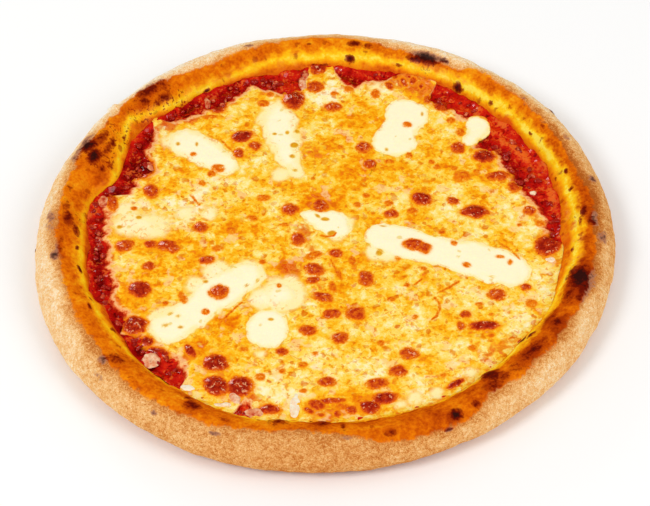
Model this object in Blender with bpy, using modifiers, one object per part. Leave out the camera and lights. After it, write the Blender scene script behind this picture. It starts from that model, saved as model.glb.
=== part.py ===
"""Margherita pizza: a baked crust, its layer of tomato sauce, the melted cheese on it and
the pools of mozzarella on that. Metres, +Z up, resting on Z = 0, its middle on the Z axis.

Every layer is first turned as if the pizza were truly round. The same warp then gives all
of them the uneven outline of hand-stretched dough, so they keep clear of each other.
"""
import math

import bmesh
import bpy
import numpy as np
from mathutils import Vector

MM = 0.001
GAP = 0.3 * MM                   # left between pieces that rest on each other

# Radii of the layers while they are truly round
CRUST_RADIUS = 155 * MM
SAUCE_RADIUS = 127 * MM
CHEESE_RADIUS = 118 * MM

# Heights above the surface that the pizza rests on
BED_TOP = 5.5 * MM               # dough under the sauce
SAUCE_TOP = 7.5 * MM             # sauce under the cheese
SAUCE_LIP = 10.8 * MM            # sauce where it wells up round the cheese
CHEESE_TOP = 12.0 * MM
RIM_TOP = 23.5 * MM
POOL_THICKNESS = 1.9 * MM

TURN_STEPS = 96                  # round the pizza
POOL_STEPS = 36                  # round a pool of mozzarella
MELT = 3.0 * MM                  # how softly the lobes of a pool run together

# The crust is slightly out of round: waves round its edge, as (waves in a turn, share of the
# radius in the cosine, share in the sine)
CRUST_WAVES = ((2, -0.0007, 0.0138), (3, 0.0014, -0.0019), (4, -0.0007, -0.0006))
# The rim is higher here and lower there: (waves in a turn, height, phase in degrees)
RIM_WAVES = ((2, 0.5 * MM, 40), (5, 0.4 * MM, 110))

# Where an edge runs in (-) or out (+): (direction in degrees, distance, half width in degrees)
SAUCE_BULGES = ((32, 3.5 * MM, 24), (178, 2.0 * MM, 14), (102, 1.5 * MM, 9), (270, -1.5 * MM, 50))
CHEESE_BULGES = (
    (24, -7 * MM, 17), (65, 4 * MM, 9), (90, 4 * MM, 6), (101, -10 * MM, 6), (127, -6 * MM, 6),
    (155, -12 * MM, 8), (168, 4 * MM, 5), (237, 3 * MM, 7), (260, 3 * MM, 12), (300, 3 * MM, 18),
)

# Mozzarella: each pool is made of round lobes, as (x, y, radius)
POOLS = {
    "mozzarella_upper_left": ((-76, 69.5, 11), (-65, 61, 10), (-54.5, 51.5, 8)),
    "mozzarella_upper": ((-26, 99, 4), (-26, 86, 10.5), (-23, 71, 9), (-20, 58, 7), (-15, 46, 4)),
    "mozzarella_upper_right": ((45.5, 91.5, 12.5), (38.5, 71, 12.5)),
    "mozzarella_right_edge": ((85, 85.5, 5), (85.5, 79, 5.5), (80, 70, 3.5)),
    "mozzarella_centre": ((-11, 15, 1.5), (-5, 11.5, 4.5), (4, 10.5, 7), (6.5, 4, 7)),
    "mozzarella_right": ((31, -1.5, 10), (42, -6.5, 11.5), (58, -11, 10), (76, -16.5, 12.5),
                         (90, -21.5, 12), (98, -26, 10)),
    "mozzarella_lower_left": ((-80, -64, 11.5), (-68, -55, 10.5), (-57, -42, 12), (-46, -32, 10.5),
                              (-39, -28, 7.5)),
    "mozzarella_lower": ((-24.5, -42.5, 9.5),),
    "mozzarella_disc": ((-29.5, -62.5, 9.7), (-29.5, -69, 9.2)),
    "mozzarella_left": ((-105, 8, 9), (-92, 6, 9)),
}

# Colour and roughness of each material
CRUST_LOOK = ((0.62, 0.34, 0.11, 1), 0.7)
SAUCE_LOOK = ((0.42, 0.02, 0.005, 1), 0.35)
CHEESE_LOOK = ((0.95, 0.62, 0.16, 1), 0.4)
MOZZARELLA_LOOK = ((1.0, 0.91, 0.68, 1), 0.35)


def crust_profile():
    """The dough from the middle of its bed, over the rim and down to the middle below."""
    inner, outer = SAUCE_RADIUS, CRUST_RADIUS
    wall = [(0, BED_TOP), (inner - 2 * MM, BED_TOP), (inner + 0.4 * MM, BED_TOP + 0.8 * MM),
            (inner + 0.7 * MM, 9.5 * MM), (inner + 1.6 * MM, 13 * MM), (inner + 4 * MM, 16 * MM),
            (outer - 20 * MM, 20 * MM), (outer - 16 * MM, 22.5 * MM)]
    rim = [(outer - 11.5 * MM, RIM_TOP), (outer - 6.5 * MM, 21.5 * MM), (outer - 3 * MM, 18 * MM),
           (outer - 0.8 * MM, 14 * MM), (outer, 10.5 * MM), (outer - 1 * MM, 7 * MM),
           (outer - 4 * MM, 3.5 * MM), (outer - 10 * MM, 0.8 * MM)]
    return wall + rim + [(outer - 16 * MM, 0), (0, 0)]


def sauce_profile():
    """Sauce from its middle out under the cheese, up round the cheese's edge and back below."""
    cheese, edge = CHEESE_RADIUS, SAUCE_RADIUS
    return [(0, SAUCE_TOP), (cheese - 4 * MM, SAUCE_TOP), (cheese + 0.8 * MM, SAUCE_TOP + 0.7 * MM),
            (cheese + 1.0 * MM, SAUCE_LIP - 1.2 * MM), (cheese + 2.5 * MM, SAUCE_LIP),
            (edge - 3 * MM, SAUCE_LIP), (edge - 0.4 * MM, SAUCE_LIP - 1.5 * MM),
            (edge - 0.4 * MM, BED_TOP + 1.6 * MM), (edge - 2.4 * MM, BED_TOP + GAP),
            (0, BED_TOP + GAP)]


def cheese_profile():
    """Cheese from its middle out to its rounded edge and back along the sauce."""
    edge, bottom = CHEESE_RADIUS, SAUCE_TOP + GAP
    return [(0, CHEESE_TOP), (edge - 6 * MM, CHEESE_TOP), (edge - 2 * MM, CHEESE_TOP - 0.6 * MM),
            (edge, CHEESE_TOP - 2.2 * MM), (edge - 0.4 * MM, bottom + 0.8 * MM),
            (edge - 4.5 * MM, bottom), (0, bottom)]


# A pool's profile, in shares of its reach from its middle and of its thickness
POOL_PROFILE = [(0, 1), (0.78, 1), (0.97, 0.62), (1, 0), (0, 0)]


def bulge(angle, bulges):
    """How far an edge runs in or out at an angle in radians."""
    total = 0.0
    for middle, distance, half_width in bulges:
        off = (math.degrees(angle) - middle + 180) % 360 - 180
        if abs(off) < half_width:
            total += distance * math.cos(math.pi / 2 * off / half_width) ** 2
    return total


def crust_edge(angle):
    waves = sum(c * math.cos(n * angle) + s * math.sin(n * angle) for n, c, s in CRUST_WAVES)
    return CRUST_RADIUS * (1 + waves)


def sauce_edge(angle):
    return SAUCE_RADIUS + bulge(angle, SAUCE_BULGES)


def cheese_edge(angle):
    return CHEESE_RADIUS + bulge(angle, CHEESE_BULGES)


def warp(point):
    """Move a point of the truly round pizza to its place on the uneven one."""
    radius, angle = math.hypot(point.x, point.y), math.atan2(point.y, point.x)
    true = (0, CHEESE_RADIUS, SAUCE_RADIUS, CRUST_RADIUS)
    uneven = (0, cheese_edge(angle), sauce_edge(angle), crust_edge(angle))
    moved = np.interp(radius, true, uneven)
    swell = sum(h * math.cos(n * angle + math.radians(phase)) for n, h, phase in RIM_WAVES)
    share = max(0.0, (point.z - CHEESE_TOP) / (RIM_TOP - CHEESE_TOP))
    return Vector((moved * math.cos(angle), moved * math.sin(angle), point.z + swell * share))


def pool_edge(lobes):
    """The middle of a pool, and a function that gives its edge point for a turn in radians."""
    spots = [(Vector((x, y)) * MM, size * MM) for x, y, size in lobes]
    weight = sum(size ** 2 for _, size in spots)
    middle = sum((place * size ** 2 for place, size in spots), Vector((0, 0))) / weight
    (first, first_size), (last, last_size) = spots[0], spots[-1]
    along = (last - first).normalized() if len(spots) > 1 else Vector((1, 0))
    across = Vector((-along.y, along.x))
    width = max(size for _, size in spots)
    length = max(width, ((last - first).length + first_size + last_size) / 2)

    def outside(place):
        """Below 0 in the pool and above 0 out of it, smooth where its lobes run together."""
        near = sum(math.exp((size - (place - spot).length) / MELT) for spot, size in spots)
        return -MELT * math.log(near)

    def edge(turn):
        ray = along * (length * math.cos(turn)) + across * (width * math.sin(turn))
        inner, outer = 0.0, 3.0
        for _ in range(30):
            half = (inner + outer) / 2
            if outside(middle + ray * half) < 0:
                inner = half
            else:
                outer = half
        return middle + ray * inner

    return middle, edge


def material(name, look):
    colour, roughness = look
    made = bpy.data.materials.new(name)
    made.use_nodes = True
    shader = made.node_tree.nodes["Principled BSDF"]
    shader.inputs["Base Color"].default_value = colour
    shader.inputs["Roughness"].default_value = roughness
    shader.inputs["Metallic"].default_value = 0
    made.diffuse_color = colour
    return made


def turned(profile, steps):
    """A closed mesh: the profile (distance from the Z axis, height) turned once round it."""
    outline = bmesh.new()
    points = [outline.verts.new((across, 0, up)) for across, up in profile]
    for start, end in zip(points, points[1:]):
        outline.edges.new((start, end))
    line = bpy.data.meshes.new("profile")
    outline.to_mesh(line)
    outline.free()
    lathe = bpy.data.objects.new("profile", line)
    bpy.context.scene.collection.objects.link(lathe)
    screw = lathe.modifiers.new("turn", "SCREW")
    screw.axis = "Z"
    screw.angle = 2 * math.pi
    screw.steps = screw.render_steps = steps
    screw.use_merge_vertices = True
    screw.merge_threshold = 0.01 * MM
    solid = bpy.data.meshes.new_from_object(lathe.evaluated_get(bpy.context.evaluated_depsgraph_get()))
    bpy.data.objects.remove(lathe)
    bpy.data.meshes.remove(line)
    welded = bmesh.new()
    welded.from_mesh(solid)
    bmesh.ops.remove_doubles(welded, verts=welded.verts, dist=0.01 * MM)
    bmesh.ops.recalc_face_normals(welded, faces=welded.faces)
    welded.to_mesh(solid)
    welded.free()
    return solid


def add_piece(name, mesh, look, collection):
    mesh.name = name
    mesh.materials.clear()
    mesh.materials.append(look)
    mesh.shade_smooth()
    mesh.set_sharp_from_angle(angle=math.radians(40))
    piece = bpy.data.objects.new(name, mesh)
    collection.objects.link(piece)
    return piece


def add_layer(name, profile, look, collection):
    """A layer of the pizza: its profile turned, then warped to the uneven outline."""
    mesh = turned(profile, TURN_STEPS)
    for vertex in mesh.vertices:
        vertex.co = warp(vertex.co)
    return add_piece(name, mesh, look, collection)


def add_pool(name, lobes, look, collection):
    """A flat pool of mozzarella that lies on the cheese."""
    middle, edge = pool_edge(lobes)
    mesh = turned(POOL_PROFILE, POOL_STEPS)
    for vertex in mesh.vertices:
        share = math.hypot(vertex.co.x, vertex.co.y)
        place = middle.lerp(edge(math.atan2(vertex.co.y, vertex.co.x)), share)
        height = CHEESE_TOP + GAP + vertex.co.z * POOL_THICKNESS
        vertex.co = (place.x, place.y, height)
    return add_piece(name, mesh, look, collection)


def main():
    for old in list(bpy.data.objects):
        bpy.data.objects.remove(old)
    pizza = bpy.data.collections.new("margherita_pizza")
    bpy.context.scene.collection.children.link(pizza)

    add_layer("crust", crust_profile(), material("crust", CRUST_LOOK), pizza)
    add_layer("sauce", sauce_profile(), material("sauce", SAUCE_LOOK), pizza)
    add_layer("cheese", cheese_profile(), material("cheese", CHEESE_LOOK), pizza)
    for name, lobes in POOLS.items():
        add_pool(name, lobes, material(name, MOZZARELLA_LOOK), pizza)


main()
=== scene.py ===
"""Looks of the margherita pizza: crust, sauce, melted cheese and mozzarella, and the stage."""
import itertools
import math

import bmesh
import bpy
import numpy as np
from bpy.props import FloatProperty, FloatVectorProperty, IntProperty, PointerProperty
from mathutils import Matrix, Vector


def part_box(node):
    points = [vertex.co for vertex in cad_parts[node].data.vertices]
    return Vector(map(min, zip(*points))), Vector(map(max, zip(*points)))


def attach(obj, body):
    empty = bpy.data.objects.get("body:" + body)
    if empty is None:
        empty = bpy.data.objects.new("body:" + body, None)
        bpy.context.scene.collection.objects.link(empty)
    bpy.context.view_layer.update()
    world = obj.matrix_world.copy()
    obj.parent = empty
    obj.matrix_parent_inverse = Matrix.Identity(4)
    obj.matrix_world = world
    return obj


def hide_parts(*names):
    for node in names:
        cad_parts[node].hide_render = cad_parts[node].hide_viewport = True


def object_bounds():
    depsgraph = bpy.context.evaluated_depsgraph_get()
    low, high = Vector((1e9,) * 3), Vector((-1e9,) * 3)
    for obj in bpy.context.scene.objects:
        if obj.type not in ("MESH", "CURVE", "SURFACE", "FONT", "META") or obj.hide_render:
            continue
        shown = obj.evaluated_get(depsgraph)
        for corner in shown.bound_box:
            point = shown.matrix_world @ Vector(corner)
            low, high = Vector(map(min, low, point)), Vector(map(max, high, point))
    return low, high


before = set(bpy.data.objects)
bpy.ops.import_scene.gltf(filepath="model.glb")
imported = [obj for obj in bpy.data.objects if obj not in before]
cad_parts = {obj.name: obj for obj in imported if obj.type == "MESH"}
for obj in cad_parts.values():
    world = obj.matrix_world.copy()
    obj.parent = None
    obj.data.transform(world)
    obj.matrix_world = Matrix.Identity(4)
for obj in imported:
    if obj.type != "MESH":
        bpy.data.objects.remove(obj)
CAD_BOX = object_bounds()

bl_info = {
    "name": "Margherita pizza",
    "version": (1, 0, 0),
    "blender": (4, 5, 0),
    "location": "View3D > Sidebar > Pizza",
    "description": "Models the crust, sauce, cheese and mozzarella of a baked margherita pizza",
    "category": "Add Mesh",
}

MM = 0.001
FULL_TURN = 2 * math.pi


# ---------------------------------------------------------------- places from the frame

def corners(node):
    """A node's vertices, in millimetres."""
    return np.array([v.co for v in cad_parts[node].data.vertices]) / MM


def per_spoke(node, of):
    """A function of the direction: the largest of `of` among the node's points on each spoke."""
    points = corners(node)
    reach = np.hypot(points[:, 0], points[:, 1])
    outer = points[reach > 0.8 * reach.max()]
    turn = np.round(np.arctan2(outer[:, 1], outer[:, 0]), 3)
    spokes = np.unique(turn)
    value = of(outer)
    highest = np.array([value[turn == spoke].max() for spoke in spokes])
    return lambda angle: np.interp(angle, spokes, highest, period=FULL_TURN)


def around(pairs):
    """A function of the direction in radians, through (degrees, value) pairs."""
    degrees, values = np.array(pairs, float).T
    return lambda angle: np.interp(np.degrees(angle) % 360, degrees, values, period=360)


CRUST_EDGE = per_spoke("crust", lambda points: np.hypot(points[:, 0], points[:, 1]))
RIM_HEIGHT = per_spoke("crust", lambda points: points[:, 2])
CHEESE_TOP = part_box("cheese")[1].z / MM
SAUCE_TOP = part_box("sauce")[1].z / MM
POOL_NODES = sorted(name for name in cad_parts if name.startswith("mozzarella"))


def pool_ring(node):
    """The middle of a pool of mozzarella and its outline, in order round that middle."""
    points = corners(node)
    low = points[points[:, 2] < points[:, 2].min() + 0.1][:, :2]
    ring = np.unique(np.round(low, 3), axis=0)
    ring = ring[np.hypot(*(ring - ring.mean(0)).T) > 1.5]
    middle = (ring.min(0) + ring.max(0)) / 2
    turn = np.arctan2(ring[:, 1] - middle[1], ring[:, 0] - middle[0])
    return middle, ring[np.argsort(turn)]


POOLS = {node: pool_ring(node) for node in POOL_NODES}


# ---------------------------------------------------------------- features, in millimetres

# Blisters of browned cheese, the darkest first: (x, y, half width, half height, turn in degrees)
BURNT = (
    (-17.5, 103.5, 6, 7.5, 0), (-60, 99, 5, 6, 0), (-102, 50, 8, 8.5, 0), (-46, 74.3, 6, 4, 20),
    (-4, 130, 5, 5.5, 0), (68, 101, 7, 6, 30), (81, 17, 7.5, 4.5, -5), (88, 59, 6, 5, 0),
    (52.5, 26.5, 5.5, 4.5, -20), (-54.8, -103, 7, 5.5, -40), (-43, -103.5, 6.5, 6.5, 0),
    (-55.5, -88.2, 6.5, 5.5, 0), (29.7, -111, 6.5, 3.5, 10), (22.5, -116.5, 5, 4, -20),
    (65.7, -101.5, 5, 1.8, 35), (118.5, -7.5, 6.5, 8, -35), (-98, -63, 6.5, 6, 0),
    (-97, -38.7, 6, 5.5, 0), (82, -63.2, 8, 3, 3), (-68.6, -80, 2.3, 4.5, 25),
    (-85, -81, 6, 3, -20), (-91.5, -74, 3.5, 3, 0), (-28, -118, 5, 3, 0),
)
BROWN = (
    (-94.5, 32.3, 4, 5.5, 20), (-38.5, 66.8, 3.8, 3.2, 0), (-19, 18.5, 4.8, 4.5, 0),
    (-2.5, 21.5, 4.2, 4.6, 0), (-66.7, 5.3, 4, 4, 0), (-14, -3, 4, 4.6, 0), (-47.5, 61, 3, 3.6, 0),
    (4.5, 97.5, 5.2, 3.8, 0), (21.5, 65.5, 4.2, 4.8, 0), (24.5, 53, 4, 3.4, 0), (73.5, 65.5, 3.8, 4.3, 0),
    (95, 43.5, 6.8, 4, 5), (103, 35.5, 4, 4, 0), (69.5, 25, 3.8, 2.8, -20), (35.5, 15.5, 4, 3.3, 0),
    (110.5, 17.8, 3.5, 3.5, 0), (-106.5, -7.7, 5.5, 4.3, 15), (-93, -6.5, 3.5, 3, 0),
    (-84, -7.3, 5, 4.3, 0), (-80.5, -9.7, 3.3, 3.3, 0), (-62.8, -18, 4, 3.2, 0), (-93, -22, 3.4, 3, 0),
    (-55.3, -40.6, 4.9, 4.8, 0), (6, -13.3, 3.6, 3, 0), (-5.5, -24.7, 5.8, 4, -15),
    (-6.5, -32.2, 4, 2.4, 15), (-1, -44, 5.8, 3.2, -18), (3.5, -55.2, 4.5, 3.2, 20),
    (-9, -66.3, 4.5, 3.2, -10), (7.6, -71.6, 4.4, 3.8, 20), (-22, -80.3, 3, 2.4, 0),
    (1, -100.3, 4.5, 3.2, 0), (47.2, -7.2, 5.3, 3.8, 0), (53, -9.7, 3.8, 3.6, -30),
    (21.5, -31, 4.2, 5.5, 0), (16, -55.2, 5.2, 4.8, 0), (89.5, -42, 4.8, 4.4, 0),
    (73, -55.7, 2.8, 2.5, 0), (70, -63.3, 2.2, 3, 0), (105, -37, 2.8, 2.5, 0), (42.8, -81.8, 5, 4, 0),
    (37, -93.5, 4.3, 4, 0), (26, -101.5, 5.8, 3.6, 10), (-115, 24, 3, 6.5, 12), (-5.5, 114, 5, 4.5, -30),
    (4, -112.3, 7, 1.8, 4), (-4, -115.4, 4.5, 3.2, -20), (-8.3, -118.7, 3, 1.6, -30),
    (50, 118, 2.2, 3.2, 0), (45, 117.6, 1.8, 4, 20), (57.7, 103.5, 2.2, 3, 0), (36.6, 114.8, 2, 4, 30),
    (54.7, 114.6, 1.6, 2.4, 0), (40, 122, 1.6, 2, 0), (6.3, -120.8, 2, 2.4, 0), (-2.1, -121.4, 2, 1.1, 0),
    (13.5, -118.2, 3, 2.6, 0),
)
GOLDEN = (
    (-58.5, 48.8, 3.8, 3.4, 0), (-62, 45.5, 2.3, 2.5, 0), (-67, 38.5, 2.2, 2, 0), (-33.5, 27, 4, 2.6, 0),
    (-39, 12.3, 2.8, 2.6, 0), (-21.5, 7.3, 3, 1.5, 0), (-50, 3.3, 3, 3, 0), (-72.5, 59.7, 1.8, 1.8, 0),
    (-64, 89.5, 5.5, 2, 0), (-35, 100.5, 3.5, 3, 0), (-31, 107.5, 2.5, 2.2, 0), (5.5, 108.5, 2.4, 2, 0),
    (13.5, 112, 3, 2.4, -30), (28.5, 108.5, 3, 4, -10), (46, 83.3, 2.8, 2.6, 0), (8.5, 66, 2, 2, 0),
    (35.5, 54.7, 2.8, 2, 0), (46.5, 59.5, 2, 2.8, 0), (58.5, 54.5, 1.8, 1.8, 0), (61.5, 50.5, 2.4, 2, 0),
    (70.5, 87, 2.8, 2.6, 0), (75.5, 77.5, 2.6, 3.4, 0), (83, 47, 2, 2, 0), (71, 49.5, 2, 2, 0),
    (74.5, 43.5, 5, 4.6, 0), (47.5, 17.5, 3, 2.4, 0), (22.5, 28.8, 2, 1.8, 0), (17.5, 22.3, 2.2, 2.2, 0),
    (34.5, 23.3, 2.4, 2.4, 0), (115.5, 8.6, 2.7, 2.6, 0), (104.5, 7.3, 1.4, 1.3, 0),
    (62.5, 2.3, 2.5, 2.2, 0), (68.5, -6.2, 1.9, 2.2, 0), (-57, -9.5, 3.4, 2.6, 0),
    (-74, -44.5, 2.3, 4.5, 20), (-62, -54, 2.2, 2.2, 0), (-6, -14.7, 5.5, 2.8, 25),
    (4, -37.2, 2.4, 4, 15), (-41.5, -79, 3, 2, -15), (-11, -89, 2.4, 2, 0), (-21.5, -93, 1.9, 1.7, 0),
    (-32.7, -97, 2.8, 2.5, 0), (-11, -106.3, 2.2, 1.6, 0), (38.5, -17.2, 1.7, 1.7, 0),
    (74.5, -21.7, 2.3, 2.1, 0), (92.5, -15.8, 2.6, 1.3, 0), (97.5, -19.5, 1.5, 1.9, 0),
    (14.5, -19.2, 2.2, 4, 10), (7, -27.5, 1.8, 3.6, 20), (34.5, -45, 2.5, 1.9, 0),
    (52, -24.2, 1.8, 1.8, 0), (43, -35.7, 1.7, 1.6, 0), (80.5, -48.7, 2.3, 1.5, 0),
    (107.5, -48.2, 3.3, 3, 0), (85, -70, 2, 1.5, 0), (75.5, -78, 2, 2, 0), (28.5, -75, 2.3, 2.2, 0),
    (60, -96, 1.8, 1.7, 0), (-83, -48, 2, 1.8, 0), (-103, 19.5, 1.8, 1.5, 0), (-5, -82, 1.6, 1.4, 0),
    (8.5, -116, 3.6, 2.6, 0), (18, -113, 3, 2, 30), (46.5, -57.5, 1.6, 1.5, 0), (86, -55.5, 1.5, 1.2, 0),
    (-33, -19, 2.1, 1.9, 0), (-24, -36, 1.5, 1.8, 0),
)
BLISTERS = ((0.8, BURNT), (0.62, BROWN), (0.42, GOLDEN))   # with how dark each kind is baked
# Small olive marks, written as the blisters are
OLIVE = (
    (-80, -55.3, 1.4, 1.2, 0), (-76, -57, 1.4, 1.1, 0), (-82.5, -63.2, 1.5, 1.2, 0),
    (-74.5, -64.6, 1.7, 1.2, 0), (-35.5, -32.5, 1.2, 1.7, 0), (-41, -36, 1.1, 1.2, 0),
    (-62.5, -33.3, 1.3, 1.3, 0), (-27.8, -59.5, 1.6, 1.2, 0), (29, -12.7, 2, 2.8, -20),
    (31, 6.5, 1.3, 1.2, 0), (58.5, -1, 1.2, 0.9, 0), (-81.5, 68, 1.3, 1.6, 0), (-71, 67.5, 0.9, 1.8, 0),
    (-21, 77, 1.2, 1.5, 0), (-15.5, 78, 1.5, 1.6, 0), (-17, 67, 2.6, 2.2, 0), (-28, 76, 1.4, 1.2, 0),
    (-18, 58.5, 1.9, 1.7, 0), (-16.5, 48, 1.5, 1.2, 0), (54.5, 92, 1, 1.8, 0), (34, 64, 1.1, 1.4, 0),
    (-100, 12.5, 1.8, 1.7, 0), (-110, 5.5, 1.7, 1.5, 0), (87.5, -30, 1.2, 1, 0),
    (0, 11.2, 2.6, 1.5, 0), (-4, 13.5, 2.2, 1.2, -50), (3.4, 1.4, 2.6, 1.8, 25),
)

# Where the cheese is browner (+) or paler (-): (x, y, reach, amount)
TINTS = (
    (19, 86, 15, 0.9), (-5, 60, 10, 0.5), (18, 44, 18, 0.55), (4, 32, 12, 0.5), (-5, 22, 10, 0.8),
    (-88, -8, 16, 0.6), (-45, 10, 13, 0.5), (-55, -8, 16, 0.4), (-48, -62, 10, 0.8),
    (-62, -75, 9, 0.7), (-45, 73, 13, 0.4), (-36, 103, 12, 0.1), (14, -22, 12, 0.3),
    (17, -50, 14, 0.4), (82, -66, 12, 0.6), (58, 60, 12, 0.3), (72, 50, 14, 0.4),
    (92, 50, 10, 0.3), (50, 20, 12, 0.3), (20, 12, 9, 0.5), (97, -3, 11, 0.4), (-98, -38, 12, 0.5),
    (-80, -30, 12, 0.3), (-52, -95, 14, 0.6), (28, -106, 12, 0.4), (-20, -24, 9, 0.8),
    (-60, 28, 22, -0.4), (-72, 17, 12, -0.8), (-105, 22, 12, -0.7), (-22, -96, 22, -0.4),
    (12, -88, 18, -0.4), (103, 12, 14, -0.5), (72, -46, 16, -0.3), (-6, -50, 12, -0.3),
    (38, -44, 14, -0.2), (6, 108, 15, -0.5), (42, -68, 14, -0.3), (-104, -20, 8, -0.3),
    (62, 32, 12, -0.2), (-58, 90, 12, -0.2), (103, 30, 10, -0.4), (3, -118, 12, 0.9), (14, -114, 8, 0.6),
    (52, 112, 11, 1.0), (66, 104, 8, 0.8), (-5, 124, 10, 0.6), (-88, 88, 9, 0.5),
    (75, -85, 12, -0.4), (98, -58, 12, -0.5), (113, -32, 12, -0.5), (-20, -113, 14, -0.4),
    (25, -98, 14, -0.4), (48, -106, 12, -0.4), (88, -28, 10, -0.4), (0, 112, 12, -0.5),
    (30, 110, 12, -0.5), (100, 74, 8, 0.4), (-100, -52, 8, 0.5), (-66, -98, 8, 0.4), (-83, -100, 6, 0.5),
)
# Where sauce shines through thin cheese: (x, y, reach, amount)
BLUSHES = (
    (-12, 2, 7, 0.9), (-18, -24, 6.5, 1.0), (-8, -12, 6, 0.6), (-6, 62, 9, 0.4), (-3, 25, 8, 0.5),
    (26, 43, 9, 0.25), (-3, -35, 8, 0.35), (83, -82, 8, 0.5), (92, -74, 7, 0.4), (-118, 5, 9, 0.6),
    (-120, 20, 7, 0.5), (-116, -20, 8, 0.5), (-112, -34, 6, 0.5), (-20, 112, 6, 0.5), (81, 98, 6, 1.3),
    (74, 104, 6, 1.2), (65, 108, 5, 1.2), (90, 92, 4, 1.2), (54, 111, 9, 0.5), (47, 119, 9, 0.5),
    (55, 114, 6, 0.45), (42, 122, 6, 0.4), (50, 121.5, 2.4, 1.2), (43.5, 116.5, 2.2, 1.2),
    (56.5, 112.5, 2.2, 1.1), (39, 124, 2, 1.1), (46.5, 124.5, 2, 1.0), (79, 96, 5, 0.9),
    (90, 94, 3.5, 1.0), (36.5, 115.5, 3.5, 1.1), (28.5, 123, 3, 1.1), (116, 10, 7, 0.4),
    (-12, 121, 4, 1.0), (-80, 72, 5, 0.5), (-76, 88, 4.5, 0.8), (-86, 83, 4.5, 0.9), (-97, 77, 4, 0.9),
    (-90, 82, 5, 0.5), (-61, 103, 5, 0.9), (-88, 88, 3.5, 0.8), (-94, 64, 6, 0.5), (-90, -76, 6, 0.7),
    (-79, -87, 7, 0.7), (-106, -62, 5, 0.8), (-114, -48, 5, 0.6), (119, -1, 5, 0.8), (118, -15, 5, 0.8),
    (-30, -117, 5, 0.7), (9, -119, 6, 0.5), (-2, -119, 5, 0.7), (-38, -111, 5, 0.8), (-56, -96, 5, 0.6),
    (50, -23, 4, 0.5), (14, -24, 3, 0.3),
)
# Thin red cracks and browned folds, as lines through (x, y) points
CRACKS = (
    ((57, -44), (59.5, -48), (59.5, -52), (57.5, -57), (55, -59)), ((60, -40), (65, -37), (70, -33)),
    ((-2.5, 0), (1, -0.8), (4.5, -0.6), (5.8, 1.5)), ((94, -6), (99, -11), (103, -17)),
    ((3, -17), (5.5, -24), (9, -32)), ((-58, 72), (-52, 64), (-48, 59)), ((51, -31), (47, -35)),
    ((-68, 22), (-73, 30)), ((-43, -47), (-49, -54), (-54, -61)),
)
# Mozzarella that has run past the pools' edges: (x, y, reach)
RUNS = (
    (-57, -27, 8), (-66, -36, 7), (-83, -59, 9), (-40, -26, 8), (-22, -42, 12.5), (-32, -45, 8.5),
    (-19, -34, 5.5), (27, -12, 6.5), (33, -12, 8), (9, 8, 6.5), (6, 1, 6.5), (4, 12, 5),
    (-33, 88, 6), (-29, 97, 6), (28.5, 114, 3), (27.5, 120, 2.5), (-83, 70, 7), (-24.5, 45, 5),
    (-75, 16, 5), (-63, 16, 4.5), (5, -71, 2), (-33, -83, 2.4), (-62, -20, 3.5), (-108, 18, 5),
    (56.5, -106.5, 3), (56.8, -109.3, 2.4), (73.3, -94, 3.4), (45, -111.7, 3.6), (37.4, -115, 3),
)
# How softly the outlines fade: of these pools, of the other pools and of the runs
MOZZARELLA_SOFTNESS = {"mozzarella_left": 3.5, "mozzarella_lower": 2.4, "mozzarella_upper": 1.2,
                       "mozzarella_upper_left": 0.9, "mozzarella_lower_left": 0.8}
POOL_SOFTNESS, RUN_SOFTNESS = 0.5, 2

# Round the pizza, (degrees, radius): the ragged edge of the cheese
CHEESE_REACH = around((
    (0, 121.5), (5, 121.5), (10, 120.5), (13, 118), (17, 115.5), (20, 113), (27, 113.5), (34, 115),
    (37, 110.5), (40, 111), (42, 118), (45, 123), (48, 123), (50, 120), (53, 121), (57, 121), (59, 120),
    (60.5, 122), (61.5, 131), (70, 130.5), (74, 128), (79, 123), (82, 119), (85, 121), (88, 129),
    (94, 129), (97, 116), (101, 112.5), (104, 116), (107, 121), (110, 125), (114, 121), (118, 117.5),
    (121, 115), (125, 120), (129, 119), (134, 123.5), (138, 128), (141, 124), (145, 121), (148, 120),
    (150, 112), (153, 107), (156, 108.5), (159, 114), (161, 111.5), (164, 115), (166.5, 124),
    (169, 125.5), (172, 120.5), (180, 120), (184, 118.5), (192, 119.5), (198, 119.5), (201, 122),
    (209, 121), (213, 124), (217, 121), (220, 123), (223, 119), (228, 116), (232, 118), (235, 127),
    (243, 128.5), (249, 128), (251.5, 123), (254, 129), (260, 127), (290, 127), (320, 126), (335, 128),
    (350, 127), (356, 125.5),
))
# The foot of the rim
FOOT = around((
    (0, 125), (5, 127.5), (10, 129), (15, 129), (20, 130.5), (25, 131.5), (30, 130.5), (38, 132),
    (43, 131), (60, 132), (70, 131.5), (75, 130.5), (82, 129.5), (90, 130.5), (95, 129), (102, 127.5),
    (110, 127.5), (117, 128.5), (125, 127.5), (130, 127), (138, 128), (145, 128.5), (148, 127.5),
    (151, 124), (155, 121.5), (160, 119.5), (163, 120.5), (166, 126), (170, 128.5), (176, 128.5),
    (181, 126), (184, 124.5), (188, 126.5), (191, 128), (194, 127), (198, 129.5), (201, 128),
    (204, 125), (212, 126), (216, 125.5), (220, 128), (236, 128.3), (245, 129.2), (255, 129),
    (260, 126.5), (295, 125.8), (305, 125.2), (315, 124.5), (323, 123.8), (329, 124.8), (335, 127),
    (341, 126), (346, 125), (355, 126),
))
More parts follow.
